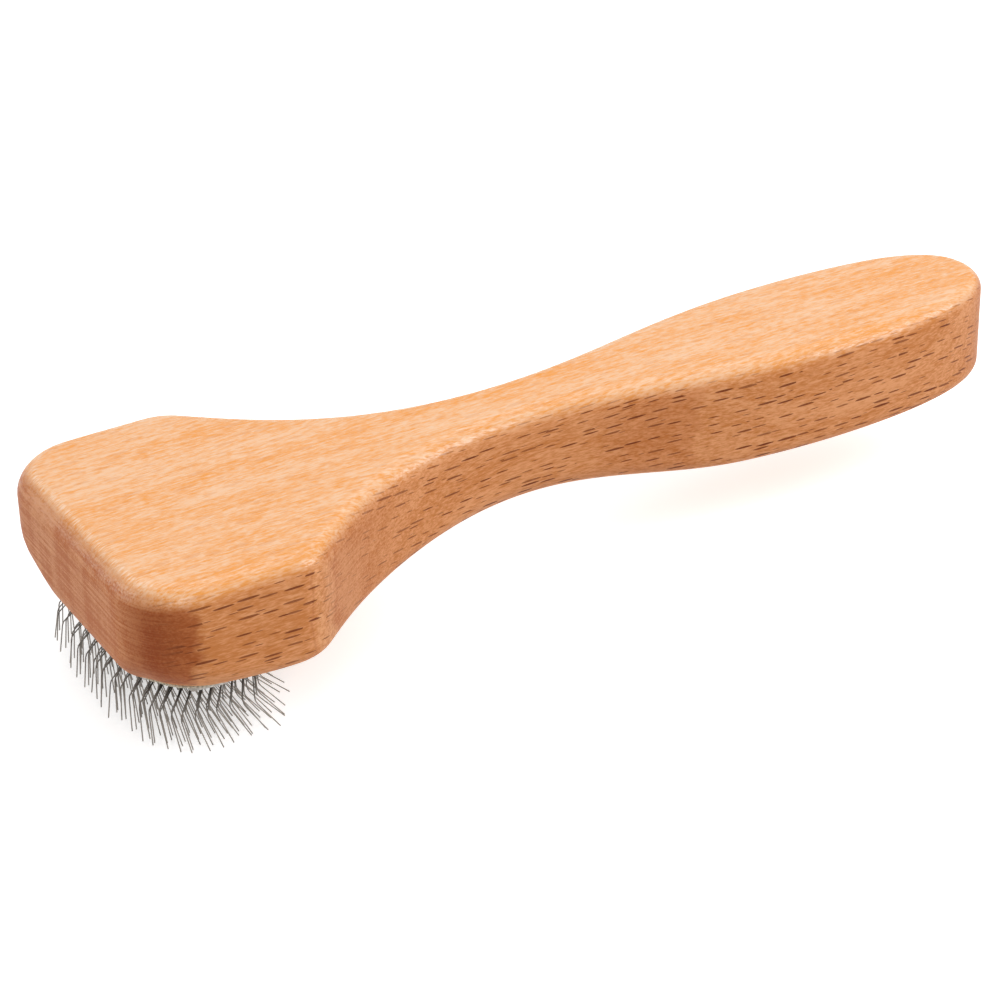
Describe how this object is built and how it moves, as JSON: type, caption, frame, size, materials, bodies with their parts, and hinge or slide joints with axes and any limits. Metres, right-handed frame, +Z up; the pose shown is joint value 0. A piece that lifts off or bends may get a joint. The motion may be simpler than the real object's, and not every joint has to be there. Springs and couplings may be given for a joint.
{
  "type": "hook-and-loop cleaning brush",
  "caption": "Small beech hand brush with a waisted handle and a crowned pad of kneed wire pins under its rounded head, for combing lint and thread out of hook-and-loop fasteners.",
  "frame": {"origin": "middle of the bounding box in X and Y, on the level of the cut tips of the lowest pins", "axes": "+X from the front of the head to the tail of the handle, +Y across to the far side of the picture, +Z up, away from the pins"},
  "size_m": [0.135, 0.0438, 0.0255],
  "materials": {
    "beech": "oiled, satin",
    "felt": "pressed wool felt",
    "cloth": "coarse plain weave",
    "pin_wire": "drawn wire",
    "staple_wire": "plain"
  },
  "bodies": {
    "root": {"beech_body": "beech", "felt_underlay": "felt", "foundation_cloth": "cloth", "wire_pins": "pin_wire", "front_staple_1": "staple_wire", "front_staple_2": "staple_wire", "front_staple_3": "staple_wire", "back_staple_1": "staple_wire", "back_staple_2": "staple_wire", "back_staple_3": "staple_wire", "near_side_staple_1": "staple_wire", "near_side_staple_2": "staple_wire", "far_side_staple_1": "staple_wire", "far_side_staple_2": "staple_wire"}
  },
  "joints": []
}
